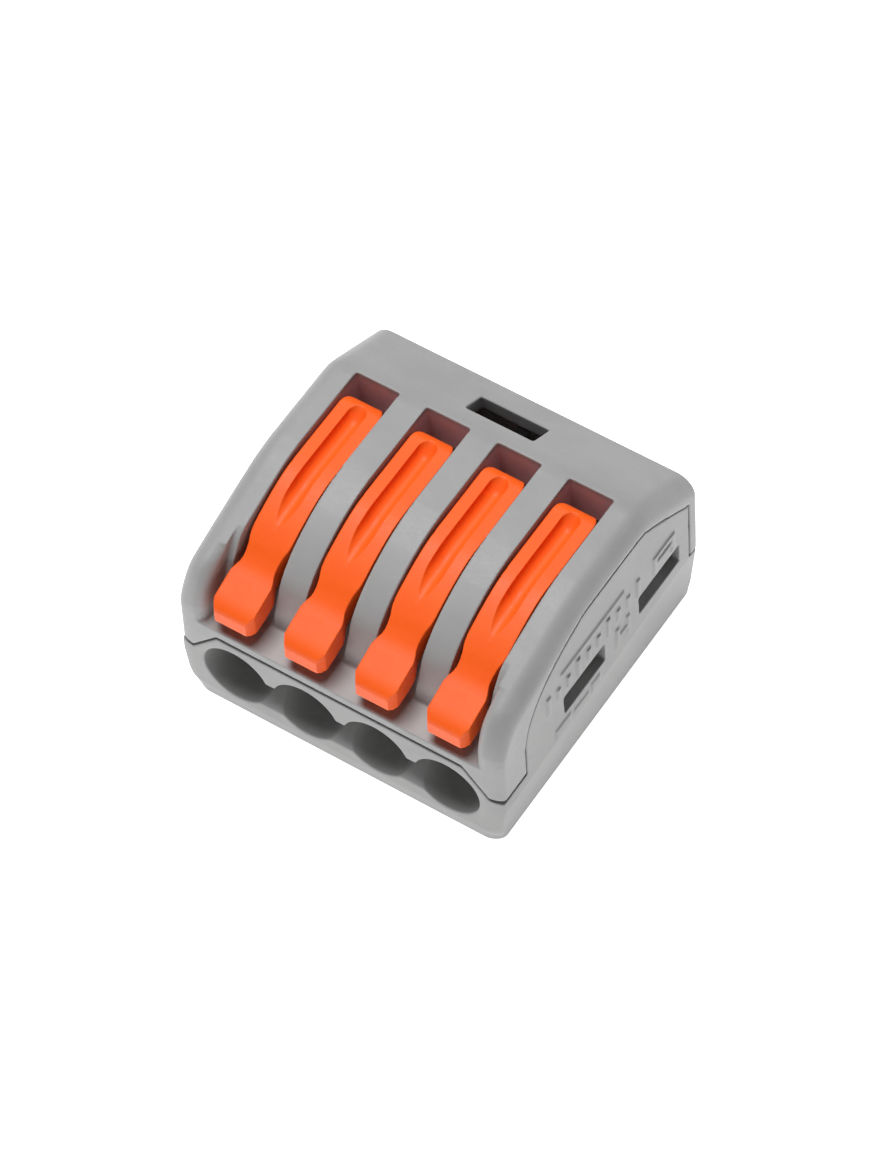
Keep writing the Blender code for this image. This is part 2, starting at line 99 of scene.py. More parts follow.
# Cover
SLOT_HALF, SLOT_REAR_Y = 1.55, 5.55
LEDGE_Z, DECK_Y, DECK_Z = 7.85, -2.6, 11.1   # ledge under the lever tips, top of the slope behind
SEAT_Z = 11.45                     # underside of the roof
RIB_OUT = 9.05                     # the space before the ribs reaches out to here
POCKET_X, POCKET_ROLL = 9.5, 0.8
POCKET_Y, POCKET_FADE = -7.0, 2.4  # the roll fades in over this length, forwards of this Y
POCKET_END_Y = -7.8                # above the arch it is cut straight up from here
TEST_SLOT = (-2.4, 2.4, 7.1, 8.9, 8.0)   # its limits in X and in Y, and its foot

# Levers
PIVOT_Y, PIVOT_Z, TRUNNION_R = 1.8, 11.3, 0.9
BEARING_R, BEARING_END_X = 0.95, 9.6
TRUNNION_END_X = 1.93
ARM_HALF, TIP_HALF, BLANK_HALF = 1.4, 1.45, 2.0
HEEL_Y, HEEL_Z, HEEL_R = 3.6, 13.25, 0.85
CAM_Y, CAM_Z, CAM_R = 3.3, 10.65, 0.8
HUB_R = 1.45
ARM_END_Y, ARM_CORNER = 4.6, 1.15
GROOVE_Y, GROOVE_FADE = (-5.7, 4.0), (3.4, 1.3)   # its two ends, and the length of their rise
GROOVE_HALF, GROOVE_DEPTH = 0.57, 0.68
GROOVE_START = 0.03                # share of each rise that is left out at its end

# Springs
LEG_TOP_Z = 8.4                    # each cage spring is split here into bow and clamping leg
LEG_GAP = 0.01
LEG_Y, LEG_FOOT_Z = (-2.5, -0.5), 3.0
BOW_FIXED_Z, BOW_KEEP = 6.8, 0.45  # height and share given for the bow; the loop below pairs them with it
LEG_FIXED_Z = 4.5
LEG_KEEP = 1 - (1 - BOW_KEEP) * (LEG_TOP_Z - BOW_FIXED_Z) / (LEG_TOP_Z - LEG_FIXED_Z)

# Where cutters end, clear of the housing
OUT, BACK, HIGH, LOW = 13.0, 12.0, 17.0, -2.0

# Moulded edges: voxel size, smoothing passes and share of the faces kept
HOUSING_EDGES = ((0.07, 3, 0.3))
LEVER_EDGES = ((0.045, 3, 0.3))

# Camera
CAMERA_TURN = (35.81, 55.19, -3.59)   # azimuth, elevation and roll in degrees
CAMERA_AIM, CAMERA_DISTANCE = (0.0, 5.55, 14.5), 325.5
CAMERA_OFFSET = (2.626, 8.581)     # the aim point lies this far right of and above the middle
CAMERA_LENS, CAMERA_SENSOR = 170.82, 36.0

# Outlines seen from the side, as (y, z)
ARCH = [(-10.87, 9.2), (-10.65, 10.2), (-10.2, 11.2), (-9.5, 11.9), (-8.4, 12.35),
        (-6.2, 13.1), (-4.0, 13.8), (-2.2, 14.3), (-0.6, ROOF_Z)]
REAR_ARCH = [(5.1, ROOF_Z), (5.8, 14.4), (6.6, 14.05), (REAR_Y, 11.72), (13.0, 10.56)]
RIB_FRONT = [(-8.8, LEDGE_Z), (-8.6, 8.6), (-8.35, 9.3), (-8.05, 10.1), (-7.7, 10.9),
             (-7.1, 11.7), (-6.5, 12.3), (-5.65, 12.9), (-4.95, 13.3), (-4.07, 13.72),
             (-3.3, 14.03)]
STRIP_FRONT = [(-8.95, LEDGE_Z), (-8.75, 8.6), (-8.5, 9.4), (-8.25, 10.3), (-7.95, 11.2),
               (-7.5, 12.0), (-7.1, 12.6), (-6.6, 12.97)]
SEAM = [(SPLIT_Y, SPLIT_Z), (-7.8, 8.9), (-7.2, 9.9), (-6.3, 10.9), (-5.0, 11.75), (-3.6, 12.4),
        (-2.0, 12.9), (-1.0, 13.1), (4.6, 13.1), (5.6, 12.85), (6.8, 12.2), (8.6, 11.1),
        (9.55, 10.45), (10.05, 10.2)]
LEVER_TOP = [(-10.85, 9.9), (-10.7, 10.2), (-10.2, 10.52), (-9.0, 10.95), (-8.0, 11.3),
             (-7.3, 11.7), (-6.5, 12.3), (-5.4, 12.92), (-4.3, 13.42), (-3.2, 13.82),
             (-2.2, 14.04), (-1.0, 14.1)]
LEVER_UNDER = [(0.1, 11.9), (-2.0, 12.2), (-3.5, 11.85), (-5.0, 11.2), (-6.2, 10.55),
               (-7.3, 9.85), (-8.3, 9.35), (-9.5, 8.95), (-10.6, 8.8)]


# ---------------------------------------------------------------- mesh helpers
def curve_through(points, steps):
    """Catmull-Rom curve through the points, ends kept."""
    out = []
    last = len(points) - 1
    for i in range(last):
        p0 = Vector(points[max(i - 1, 0)])
        p1 = Vector(points[i])
        p2 = Vector(points[i + 1])
        p3 = Vector(points[min(i + 2, last)])
        for k in range(steps):
            t = k / steps
            a = 2 * p1
            b = (p2 - p0) * t
            c = (2 * p0 - 5 * p1 + 4 * p2 - p3) * t * t
            d = (3 * p1 - p0 - 3 * p2 + p3) * t * t * t
            out.append(tuple((a + b + c + d) / 2))
    out.append(tuple(points[-1]))
    return out


def ease(t):
    """Smooth step from 0 to 1."""
    t = min(1.0, max(0.0, t))
    return t * t * (3 - 2 * t)


def circle(cu, cv, r, count, start=0.0, end=360.0):
    """Points of a circle, or of an arc with both its ends, in degrees."""
    full = abs(end - start) >= 360.0
    steps = count if full else count + 1
    turns = [math.radians(start + (end - start) * i / count) for i in range(steps)]
    return [(cu + r * math.cos(t), cv + r * math.sin(t)) for t in turns]


def link(name, bm, scale=MM):
    """New object from a bmesh, which is freed."""
    bmesh.ops.recalc_face_normals(bm, faces=bm.faces)
    bmesh.ops.transform(bm, matrix=Matrix.Scale(scale, 4), verts=bm.verts)
    mesh = bpy.data.meshes.new(name)
    bm.to_mesh(mesh)
    bm.free()
    obj = bpy.data.objects.new(name, mesh)
    bpy.context.scene.collection.objects.link(obj)
    return obj


def prism(points, axis, low, high):
    """Outline in the plane across the axis, drawn out from low to high."""
    place = {"X": lambda u, v, w: (w, u, v), "Y": lambda u, v, w: (u, w, v),
             "Z": lambda u, v, w: (u, v, w)}[axis]
    bm = bmesh.new()
    face = bm.faces.new([bm.verts.new(place(u, v, low)) for u, v in points])
    grown = bmesh.ops.extrude_face_region(bm, geom=[face])
    moved = [g for g in grown["geom"] if isinstance(g, bmesh.types.BMVert)]
    bmesh.ops.translate(bm, verts=moved, vec=Vector(place(0.0, 0.0, high - low)))
    return link("tool", bm)


def box(x0, x1, y0, y1, z0, z1):
    return prism([(x0, y0), (x1, y0), (x1, y1), (x0, y1)], "Z", z0, z1)


def boolean(obj, tool, operation="DIFFERENCE"):
    mod = obj.modifiers.new(operation, "BOOLEAN")
    mod.operation = operation
    mod.solver = "EXACT"
    mod.object = tool


def bake(obj):
    """Apply the modifiers and drop the tools they used."""
    tools = [m.object for m in obj.modifiers if m.type == "BOOLEAN"]
    bpy.context.view_layer.update()
    evaluated = obj.evaluated_get(bpy.context.evaluated_depsgraph_get())
    mesh = bpy.data.meshes.new_from_object(evaluated)
    old = obj.data
    obj.modifiers.clear()
    obj.data = mesh
    bpy.data.meshes.remove(old)
    for tool in tools:
        data = tool.data
        bpy.data.objects.remove(tool)
        bpy.data.meshes.remove(data)


def soften(obj, voxel, passes, keep):
    """Give a cut solid moulded edges: fine remesh, smoothing, then thinning."""
    bake(obj)
    remesh = obj.modifiers.new("Remesh", "REMESH")
    remesh.mode = "VOXEL"
    remesh.voxel_size = voxel * MM
    smooth = obj.modifiers.new("Smooth", "SMOOTH")
    smooth.factor = 0.5
    smooth.iterations = passes
    thin = obj.modifiers.new("Decimate", "DECIMATE")
    thin.ratio = keep
    bake(obj)
    for poly in obj.data.polygons:
        poly.use_smooth = True


def rings_bm(rings):
    """Closed skin through rings of equally many points."""
    bm = bmesh.new()
    rows = [[bm.verts.new(p) for p in ring] for ring in rings]
    bm.faces.new(rows[0])
    bm.faces.new(list(reversed(rows[-1])))
    for a, b in zip(rows, rows[1:]):
        for i in range(len(a)):
            j = (i + 1) % len(a)
            bm.faces.new((a[i], b[i], b[j], a[j]))
    return bm


# ---------------------------------------------------------------- housing
def outline():
    """Side view of the closed housing, carried on below its foot and past its rear wall."""
    below = -4.0
    front = [(FRONT_Y, z) for z in (below, 0.0, 0.5, 1.0, 1.5, FOOT_ROUND_Z, ARCH_FOOT_Z)]
    arch = curve_through(ARCH, 5)
    rear = curve_through(REAR_ARCH[:3], 4) + REAR_ARCH[3:]
    return front + arch + rear + [(REAR_ARCH[-1][0], below)]


def inward(points):
    """Unit vector into the outline at each of its points."""
    last = len(points) - 1
    vectors = []
    for i, point in enumerate(points):
        here = Vector(point)
        before = (here - Vector(points[max(i - 1, 0)])).normalized()
        after = (Vector(points[min(i + 1, last)]) - here).normalized()
        along = before + after
        vectors.append(Vector((along.y, -along.x)).normalized())
    return vectors


def envelope(name, corner):
    """Outer body of the closed housing: roof fillet, front corners of depth corner, flat rear."""
    side = outline()
    normals = inward(side)
    radii = []
    for y, z in side:
        rise = ease((z - CORNER_Z) / CORNER_GROWTH) if y < 0 else 1.0
        foot = ease(1 - z / FOOT_ROUND_Z)
        radii.append(corner + (EDGE_R - corner) * rise + (FOOT_R - corner) * foot)
    rows = []
    steps = 9
    for i in range(steps + 1):
        t = math.pi / 2 * i / steps
        ring = [(p[0] + n.x * r * (1 - math.sin(t)), p[1] + n.y * r * (1 - math.sin(t)))
                for p, n, r in zip(side, normals, radii)]
        rows.append((HALF_W - EDGE_R * (1 - math.cos(t)), ring))
    rows = [(-x, ring) for x, ring in rows] + [(x, ring) for x, ring in reversed(rows)]
    bm = rings_bm([[(x, y, z) for y, z in ring] for x, ring in rows])
    trim(bm, (0, REAR_Y, 0), (0, -1, 0))
    cut_through(bm, (0, 0, CREASE_Z), (0, -CREASE_SLOPE, 1))
    cut_through(bm, (0, 0, TOE_Z), (0, 0, 1))
    trim(bm, (0, 0, 0), (0, 0, 1))
    for v in bm.verts:
        toe = max(0.0, TOE_Z - v.co.z) / TOE_Z
        v.co.x *= width_share(v.co.y, v.co.z)
        v.co.y *= 1.0 - TOE_TAPER * toe
    return link(name, bm)


def width_share(y, z):
    """Share of the full width at a point: less towards the roof and below the crease."""
    crease = CREASE_Z + CREASE_SLOPE * y
    above = max(0.0, z - crease) / (ROOF_Z - crease)
    below = max(0.0, crease - z) / crease
    return 1.0 - DRAFT * above * above - FOOT_TAPER * below


def cut_through(bm, point, normal):
    """Add an edge all round where the plane crosses the mesh."""
    geom = list(bm.verts) + list(bm.edges) + list(bm.faces)
    bmesh.ops.bisect_plane(bm, geom=geom, plane_co=point, plane_no=normal)


def trim(bm, point, normal):
    """Keep the side the normal points to and close the cut."""
    geom = list(bm.verts) + list(bm.edges) + list(bm.faces)
    cut = bmesh.ops.bisect_plane(bm, geom=geom, plane_co=point, plane_no=normal, clear_inner=True)
    rim = [e for e in cut["geom_cut"] if isinstance(e, bmesh.types.BMEdge)]
    bmesh.ops.contextual_create(bm, geom=rim)


def front_joint(gap, top):
    """Joint line on the front, moved up by gap and closed at top."""
    line = [(-OUT, DIP_Z), (-DIP_X1, DIP_Z), (-DIP_X0, PARTING_Z),
            (DIP_X0, PARTING_Z), (DIP_X1, DIP_Z), (OUT, DIP_Z)]
    return [(x, z + gap) for x, z in line] + [(OUT, top), (-OUT, top)]


def seam_line(gap, rear):
    """Joint line on the side wall, moved up by gap, from its upright stretch to y = rear."""
    start = SPLIT_Y - gap
    low, high = start + SEAM_CLEAR, rear - SEAM_CLEAR
    line = [(y, z + gap) for y, z in curve_through(SEAM, 3) if low < y < high]
    return [(start, SPLIT_Z)] + line + [(rear, line[-1][1] - SEAM_DROP)]


def entry_tool(x):
    """Round wire entry that narrows to the channel behind it."""
    stations = [(FRONT_Y - 1.0, ENTRY_R), (FUNNEL_Y0, ENTRY_R - ENTRY_TAPER),
                (FUNNEL_Y1, CHANNEL_R), (BLOCK_Y + 1.0, CHANNEL_R)]
    return link("tool", rings_bm([[(u, y, v) for u, v in circle(x, ENTRY_Z, r, 64)]
                                  for y, r in stations]))


def web_tool():
    """Opens the webs between the entries under a flat top, over a ramp that runs inwards."""
    ramp = curve_through([(FRONT_Y, WEB_Z0), (-10.6, 2.62), (-10.0, 3.05), (-9.2, 3.5),
                          (-8.4, 3.95), (-8.1, 4.4)], 4)
    side = [(-OUT, WEB_Z0)] + ramp + [(ramp[-1][0], WEB_Z1), (-OUT, WEB_Z1)]
    return prism(side, "X", WAY_X[0], WAY_X[-1])


def bearing_tool():
    """Round channel that the trunnions of all levers turn in."""
    return prism(circle(PIVOT_Y, PIVOT_Z, BEARING_R, 24), "X", -BEARING_END_X, BEARING_END_X)


def relief():
    """Raised marks on each side wall: (y, z, length, height), a gauge over a stripped wire."""
    marks = [(-5.6 + 1.1 * i, 8.75, 0.34, 1.7 if i % 3 == 0 else 1.0) for i in range(10)]
    marks += [(-0.7, 10.2, 7.0, 0.3), (6.2, 8.75, 0.34, 1.7), (8.2, 8.75, 0.34, 1.7),
              (7.2, 8.75, 2.0, 0.3), (7.2, 9.45, 2.0, 0.3)]
    marks += [(-4.2, 4.95, 1.6, 0.9), (-2.2, 4.95, 1.6, 0.34), (-0.6, 4.95, 0.9, 0.9),
              (1.9, 6.5, 0.34, 1.9), (3.1, 6.5, 0.34, 1.9), (2.5, 6.5, 1.4, 0.3)]
    return marks


def make_base():
    """Lower shell: front block with the entries, chambers, partitions, posts and side walls."""
    base = envelope("housing_base", BASE_CORNER)
    gap = JOINT_GAP / 2
    boolean(base, prism(front_joint(-FRONT_GAP / 2, HIGH), "Y", -OUT, SPLIT_Y + gap))
    above = seam_line(-gap, SEAM_END_Y) + [(SEAM_END_Y, HIGH), (SPLIT_Y + gap, HIGH)]
    boolean(base, prism(above, "X", -OUT, OUT))
    boolean(base, box(-OUT, OUT, SKIRT_Y - gap, BACK, SKIRT_Z - gap, HIGH))
    upper = [(-9.0, PARTING_Z - gap), (PARTITION_Y, PARTING_Z - gap), (PARTITION_Y, PARTITION_Z),
             (BACK, PARTITION_Z), (BACK, HIGH), (-9.0, HIGH)]
    boolean(base, prism(upper, "X", -WALL_IN, WALL_IN))
    boolean(base, box(-WALL_IN, WALL_IN, REAR_IN, BACK, SKIRT_Z - gap, HIGH))
    for x in WAY_X:
        x0 = -WALL_IN if x == WAY_X[0] else x - CHAMBER_HALF
        x1 = WALL_IN if x == WAY_X[-1] else x + CHAMBER_HALF
        boolean(base, box(x0, x1, BLOCK_Y, REAR_IN, FLOOR_Z, CHAMBER_TOP))
        boolean(base, entry_tool(x))
    boolean(base, web_tool())
    post = (PIVOT_Y - POST_DEPTH, PIVOT_Y + POST_DEPTH, *POST_Z)
    for x in RIB_X:
        boolean(base, box(x - POST_HALF, x + POST_HALF, *post), "UNION")
    for side in (-1, 1):
        x0, x1 = sorted((side * SIDE_POST_X, side * (WALL_IN + 0.3)))
        boolean(base, box(x0, x1, *post), "UNION")
    boolean(base, bearing_tool())
    boolean(base, box(*BAR_ROOM))
    for y0, y1 in WINDOWS_Y:
        for side in (-1, 1):
            x0, x1 = sorted((side * (WALL_IN - 0.2), side * OUT))
            boolean(base, box(x0, x1, y0, y1, *WINDOW_Z))
    for y, z, dy, dz in relief():
        for side in (-1, 1):
            face = HALF_W * width_share(y, z) + MARK_RISE
            x0, x1 = sorted((side * MARK_ROOT_X, side * face))
            boolean(base, box(x0, x1, y - dy / 2, y + dy / 2, z - dz / 2, z + dz / 2), "UNION")
    soften(base, *HOUSING_EDGES)
    return base


def pocket_roll(side):
    """Rounds the inner edge of a cheek where it opens out around the lever tips."""
    foot = LEDGE_Z + 0.03
    arch = [(FRONT_Y, foot), (FRONT_Y, ARCH_FOOT_Z)]
    arch += [point for point in curve_through(ARCH, 5) if point[0] < POCKET_END_Y]
    normals = inward(arch)
    ramps = [min(1.0, max(0.0, (POCKET_Y - y) / POCKET_FADE)) for y, z in arch]
    rows = []
    steps = 8
    for i in range(steps + 1):
        t = math.pi / 2 * i / steps
        depth = POCKET_ROLL * (1 - math.sin(t)) + (0.0 if i < steps else -0.02)
        x = side * (POCKET_X + POCKET_ROLL * (1 - math.cos(t)))
        ring = [(x, p[0] + n.x * (depth * k - 0.01), p[1] + n.y * (depth * k - 0.01))
                for p, n, k in zip(arch, normals, ramps)]
        rows.append(ring + [(x, ring[-1][1], HIGH), (x, -OUT, HIGH), (x, -OUT, foot)])
    rows.insert(0, [(side * (POCKET_X - 0.3), y, z) for x, y, z in rows[0]])
    return link("tool", rings_bm(rows))


def front_opening(profile):
    """Side view of the space in front of a profile that runs up from the ledge."""
    return [(-OUT, LEDGE_Z)] + curve_through(profile, 4) + [(profile[-1][0], HIGH), (-OUT, HIGH)]


def make_cover():
    """Upper shell: roof with lever slots, ribs, cheeks, ledge, rear skirt and latch hooks."""
    cover = envelope("housing_cover", COVER_CORNER)
    gap = JOINT_GAP / 2
    split = SPLIT_Y - gap
    rear = SKIRT_Y + gap
    boolean(cover, prism(front_joint(FRONT_GAP / 2, LOW), "Y", -OUT, split + 0.4))
    boolean(cover, box(-OUT, OUT, split, rear, LOW, PARTING_Z + gap))
    boolean(cover, box(-OUT, OUT, rear - 0.5, OUT, LOW, SKIRT_Z + gap))
    wall = seam_line(gap, rear) + [(rear, -1.0), (split, -1.0)]
    for side in (-1, 1):
        boolean(cover, prism(wall, "X", *sorted((side * SKIRT_OUT, side * OUT))))
    inside = [(-6.0, 6.5), (-6.0, 7.1), (-2.9, 9.5), (-2.9, SEAT_Z), (6.6, SEAT_Z), (6.6, 12.6),
              (rear, 11.1), (rear, LOW), (-6.0, LOW)]
    boolean(cover, prism(inside, "X", -SKIRT_OUT, SKIRT_OUT))
    slot = [(-OUT, LEDGE_Z), (-8.8, LEDGE_Z), (DECK_Y, DECK_Z), (DECK_Y, 10.0),
            (SLOT_REAR_Y, 10.0), (SLOT_REAR_Y, HIGH), (-OUT, HIGH)]
    for x in WAY_X:
        boolean(cover, prism(slot, "X", x - SLOT_HALF, x + SLOT_HALF))
    boolean(cover, prism(front_opening(RIB_FRONT), "X", -RIB_OUT, RIB_OUT))
    for side in (-1, 1):
        x0, x1 = sorted((side * (RIB_OUT - 0.15), side * POCKET_X))
        boolean(cover, prism(front_opening(STRIP_FRONT), "X", x0, x1))
        boolean(cover, pocket_roll(side))
    boolean(cover, box(*TEST_SLOT, HIGH))
    boolean(cover, bearing_tool())
    latch = [(9.35, 12.0), (9.35, 5.6), (9.75, 5.6), (10.9, 6.75), (10.9, 7.2), (10.05, 7.2),
             (10.05, 12.0)]
    for y0, y1 in WINDOWS_Y:
        for side in (-1, 1):
            hook = prism([(side * x, z) for x, z in latch], "Y", y0 + 0.3, y1 - 1.0)
            boolean(cover, hook, "UNION")
    soften(cover, *HOUSING_EDGES)
    return cover


# ---------------------------------------------------------------- levers
def lever_top_at(y):
    """Height of the lever's top, which is flat behind its last point."""
    for (ya, za), (yb, zb) in zip(LEVER_TOP, LEVER_TOP[1:]):
        if ya <= y <= yb:
            return za + (zb - za) * (y - ya) / (yb - ya)
    return LEVER_TOP[-1][1]


def groove_tool():
    """Round-bottomed channel along the top of the lever, rising out at both ends."""
    count = 60
    y_front, y_rear = GROOVE_Y
    rise_front, rise_rear = GROOVE_FADE
    radius = (GROOVE_HALF * GROOVE_HALF + GROOVE_DEPTH * GROOVE_DEPTH) / (2 * GROOVE_DEPTH)
    rings = []
    for i in range(count + 1):
        y = y_front + (y_rear - y_front) * i / count
        front = ease((y - y_front) / rise_front + GROOVE_START)
        rear = ease((y_rear - y) / rise_rear + GROOVE_START)
        z = lever_top_at(y) + radius - GROOVE_DEPTH * front * rear
        rings.append([(radius * math.cos(a), y, z + radius * math.sin(a))
                      for a in [2 * math.pi * k / 36 for k in range(36)]])
    return link("tool", rings_bm(rings))


def lever_mesh():
    """One lever about x = 0: side view, trimmed to its plan, with groove and trunnions."""
    heel = circle(HEEL_Y, HEEL_Z, HEEL_R, 10, 90.0, 0.0)
    cam = circle(CAM_Y, CAM_Z, CAM_R, 8, 0.0, -90.0)
    hub = circle(PIVOT_Y, PIVOT_Z, HUB_R, 10, -90.0, -180.0)
    side = ([(-10.85, 8.95)] + curve_through(LEVER_TOP, 5) + heel + cam + hub
            + curve_through(LEVER_UNDER, 4))
    body = prism(side, "X", -BLANK_HALF, BLANK_HALF)
    waist = curve_through([(ARM_HALF, -5.9), (1.36, -6.3), (1.19, -6.9), (1.16, -7.6),
                           (1.36, -8.15), (TIP_HALF, -8.5)], 5)
    corner = circle(ARM_HALF - ARM_CORNER, ARM_END_Y - ARM_CORNER, ARM_CORNER, 8, 90.0, 0.0)
    half = corner + waist + [(TIP_HALF, -10.3), (1.12, -10.86)]
    plan = half + [(-x, y) for x, y in reversed(half)]
    boolean(body, prism(plan, "Z", 5.0, HIGH), "INTERSECT")
    boolean(body, groove_tool())
    trunnions = circle(PIVOT_Y, PIVOT_Z, TRUNNION_R, 28)
    boolean(body, prism(trunnions, "X", -TRUNNION_END_X, TRUNNION_END_X), "UNION")
    soften(body, *LEVER_EDGES)
    mesh = body.data
    mesh.name = "lever_skin"
    bpy.data.objects.remove(body)
    return mesh


# ---------------------------------------------------------------- springs
def spring_pieces(source, number):
    """Split a spring into the bow that the lever flattens and the leg that it pushes down."""
    pieces = []
    for part, operation, gap in (("bow", "DIFFERENCE", LEG_GAP), ("leg", "INTERSECT", -LEG_GAP)):
        piece = bpy.data.objects.new(f"spring_{part}_{number}", source.data.copy())
        piece.matrix_world = source.matrix_world
        bpy.context.scene.collection.objects.link(piece)
        boolean(piece, box(-OUT, OUT, *LEG_Y, LEG_FOOT_Z, LEG_TOP_Z + gap), operation)
        bake(piece)
        pieces.append(piece)
    return pieces


# ---------------------------------------------------------------- materials
def node(tree, kind, **inputs):
    """New node with the given input values; an underscore stands for a space."""
    made = tree.nodes.new(kind)
    for key, value in inputs.items():
        made.inputs[key.replace("_", " ")].default_value = value
    return made


def plastic(name, color, dark, light, rough, grain, spec):
    """Moulded plastic: cloudy colour, fine grain over broader waves, paler colour on sharp convex
    edges.
    """
    mat = bpy.data.materials.new(name)
    mat.use_nodes = True
    tree = mat.node_tree
    shader = tree.nodes["Principled BSDF"]
    shader.inputs["Specular IOR Level"].default_value = spec
    coord = tree.nodes.new("ShaderNodeTexCoord")
    cloud = node(tree, "ShaderNodeTexNoise", Scale=260.0, Detail=4.0, Roughness=0.55)
    tree.links.new(coord.outputs["Object"], cloud.inputs["Vector"])
    ramp = tree.nodes.new("ShaderNodeValToRGB")
    ramp.color_ramp.elements[0].position = 0.3
    ramp.color_ramp.elements[0].color = (*dark, 1)
    ramp.color_ramp.elements[1].position = 0.72
    ramp.color_ramp.elements[1].color = (*light, 1)
    mid = ramp.color_ramp.elements.new(0.5)
    mid.color = (*color, 1)
    tree.links.new(cloud.outputs["Fac"], ramp.inputs["Fac"])
    geo = tree.nodes.new("ShaderNodeNewGeometry")
    # Sharp convex edges, found by pointiness, are mixed towards a paler colour
    convex_pale = node(tree, "ShaderNodeMapRange", From_Min=0.51, From_Max=0.58, To_Min=0.0, To_Max=0.08)
    tree.links.new(geo.outputs["Pointiness"], convex_pale.inputs["Value"])
    mix = tree.nodes.new("ShaderNodeMix")
    mix.data_type = "RGBA"
    tree.links.new(convex_pale.outputs["Result"], mix.inputs["Factor"])
    tree.links.new(ramp.outputs["Color"], mix.inputs["A"])
    mix.inputs["B"].default_value = (*[min(1.0, c * 1.25 + 0.02) for c in light], 1)
    tree.links.new(mix.outputs["Result"], shader.inputs["Base Color"])
    fine = node(tree, "ShaderNodeTexNoise", Scale=grain, Detail=3.0, Roughness=0.6)
    tree.links.new(coord.outputs["Object"], fine.inputs["Vector"])
    gloss = node(tree, "ShaderNodeMapRange", From_Min=0.25, From_Max=0.75, To_Min=rough - 0.06,
                 To_Max=rough + 0.08)
    tree.links.new(fine.outputs["Fac"], gloss.inputs["Value"])
    tree.links.new(gloss.outputs["Result"], shader.inputs["Roughness"])
    broad = node(tree, "ShaderNodeTexNoise", Scale=900.0, Detail=2.0, Roughness=0.5)
    tree.links.new(coord.outputs["Object"], broad.inputs["Vector"])
    add = tree.nodes.new("ShaderNodeMath")
    add.operation = "MULTIPLY_ADD"
    add.inputs[1].default_value = 0.6
    tree.links.new(broad.outputs["Fac"], add.inputs[0])
    tree.links.new(fine.outputs["Fac"], add.inputs[2])
    bump = node(tree, "ShaderNodeBump", Strength=0.35, Distance=0.00002)
    tree.links.new(add.outputs["Value"], bump.inputs["Height"])
    tree.links.new(bump.outputs["Normal"], shader.inputs["Normal"])
    return mat


def metal(name, color, rough, streak):
    """Rolled strip: streaks along its length, in colour, roughness and height."""
    mat = bpy.data.materials.new(name)
    mat.use_nodes = True
    tree = mat.node_tree
    shader = tree.nodes["Principled BSDF"]
    shader.inputs["Metallic"].default_value = 1.0
    coord = tree.nodes.new("ShaderNodeTexCoord")
    mapping = tree.nodes.new("ShaderNodeMapping")
    mapping.inputs["Scale"].default_value = streak
    tree.links.new(coord.outputs["Object"], mapping.inputs["Vector"])
    lines = node(tree, "ShaderNodeTexNoise", Scale=700.0, Detail=5.0, Roughness=0.65)
    tree.links.new(mapping.outputs["Vector"], lines.inputs["Vector"])
    ramp = tree.nodes.new("ShaderNodeValToRGB")
    ramp.color_ramp.elements[0].color = (*[c * 0.75 for c in color], 1)
    ramp.color_ramp.elements[1].color = (*color, 1)
    tree.links.new(lines.outputs["Fac"], ramp.inputs["Fac"])
    tree.links.new(ramp.outputs["Color"], shader.inputs["Base Color"])
    gloss = node(tree, "ShaderNodeMapRange", To_Min=rough - 0.08, To_Max=rough + 0.12)
    tree.links.new(lines.outputs["Fac"], gloss.inputs["Value"])
    tree.links.new(gloss.outputs["Result"], shader.inputs["Roughness"])
    bump = node(tree, "ShaderNodeBump", Strength=0.2, Distance=0.00001)
    tree.links.new(lines.outputs["Fac"], bump.inputs["Height"])
    tree.links.new(bump.outputs["Normal"], shader.inputs["Normal"])
    return mat


def paint_slot_bounce_light(mat):
    """Painted reflected light: lighter, reddish slot walls around the lever heels, standing in
    for light bounced off the orange levers.
    """
    tree = mat.node_tree
    shader = tree.nodes["Principled BSDF"]
    old = shader.inputs["Base Color"].links[0].from_socket
    coord = tree.nodes.new("ShaderNodeTexCoord")
    split = tree.nodes.new("ShaderNodeSeparateXYZ")
    tree.links.new(coord.outputs["Object"], split.inputs["Vector"])
    wide = tree.nodes.new("ShaderNodeMath")
    wide.operation = "ABSOLUTE"
    tree.links.new(split.outputs["X"], wide.inputs[0])
    # Where the painted bounce light ends and where it is full, in mm: outwards, forwards,
    # rearwards, upwards
    limits = ((wide.outputs["Value"], 9.5, 9.3), (split.outputs["Y"], -2.0, 0.5),
              (split.outputs["Y"], 5.85, 5.7), (split.outputs["Z"], 14.45, 13.9))
    bounce_light_mask = None
    for source, off, on in limits:
        edge = node(tree, "ShaderNodeMapRange", From_Min=off * MM, From_Max=on * MM)
        tree.links.new(source, edge.inputs["Value"])
        if bounce_light_mask is None:
            bounce_light_mask = edge.outputs["Result"]
            continue
        both = tree.nodes.new("ShaderNodeMath")
        both.operation = "MULTIPLY"
        tree.links.new(bounce_light_mask, both.inputs[0])
        tree.links.new(edge.outputs["Result"], both.inputs[1])
        bounce_light_mask = both.outputs["Value"]
    mix = tree.nodes.new("ShaderNodeMix")
    mix.data_type = "RGBA"
    tree.links.new(bounce_light_mask, mix.inputs["Factor"])
    tree.links.new(old, mix.inputs["A"])
    # Colour of the painted light bounced off the orange levers
    mix.inputs["B"].default_value = (0.7, 0.52, 0.56, 1)
    tree.links.new(mix.outputs["Result"], shader.inputs["Base Color"])


def dress(mesh, mat):
    """Make this the mesh's only material."""
    mesh.materials.clear()
    mesh.materials.append(mat)


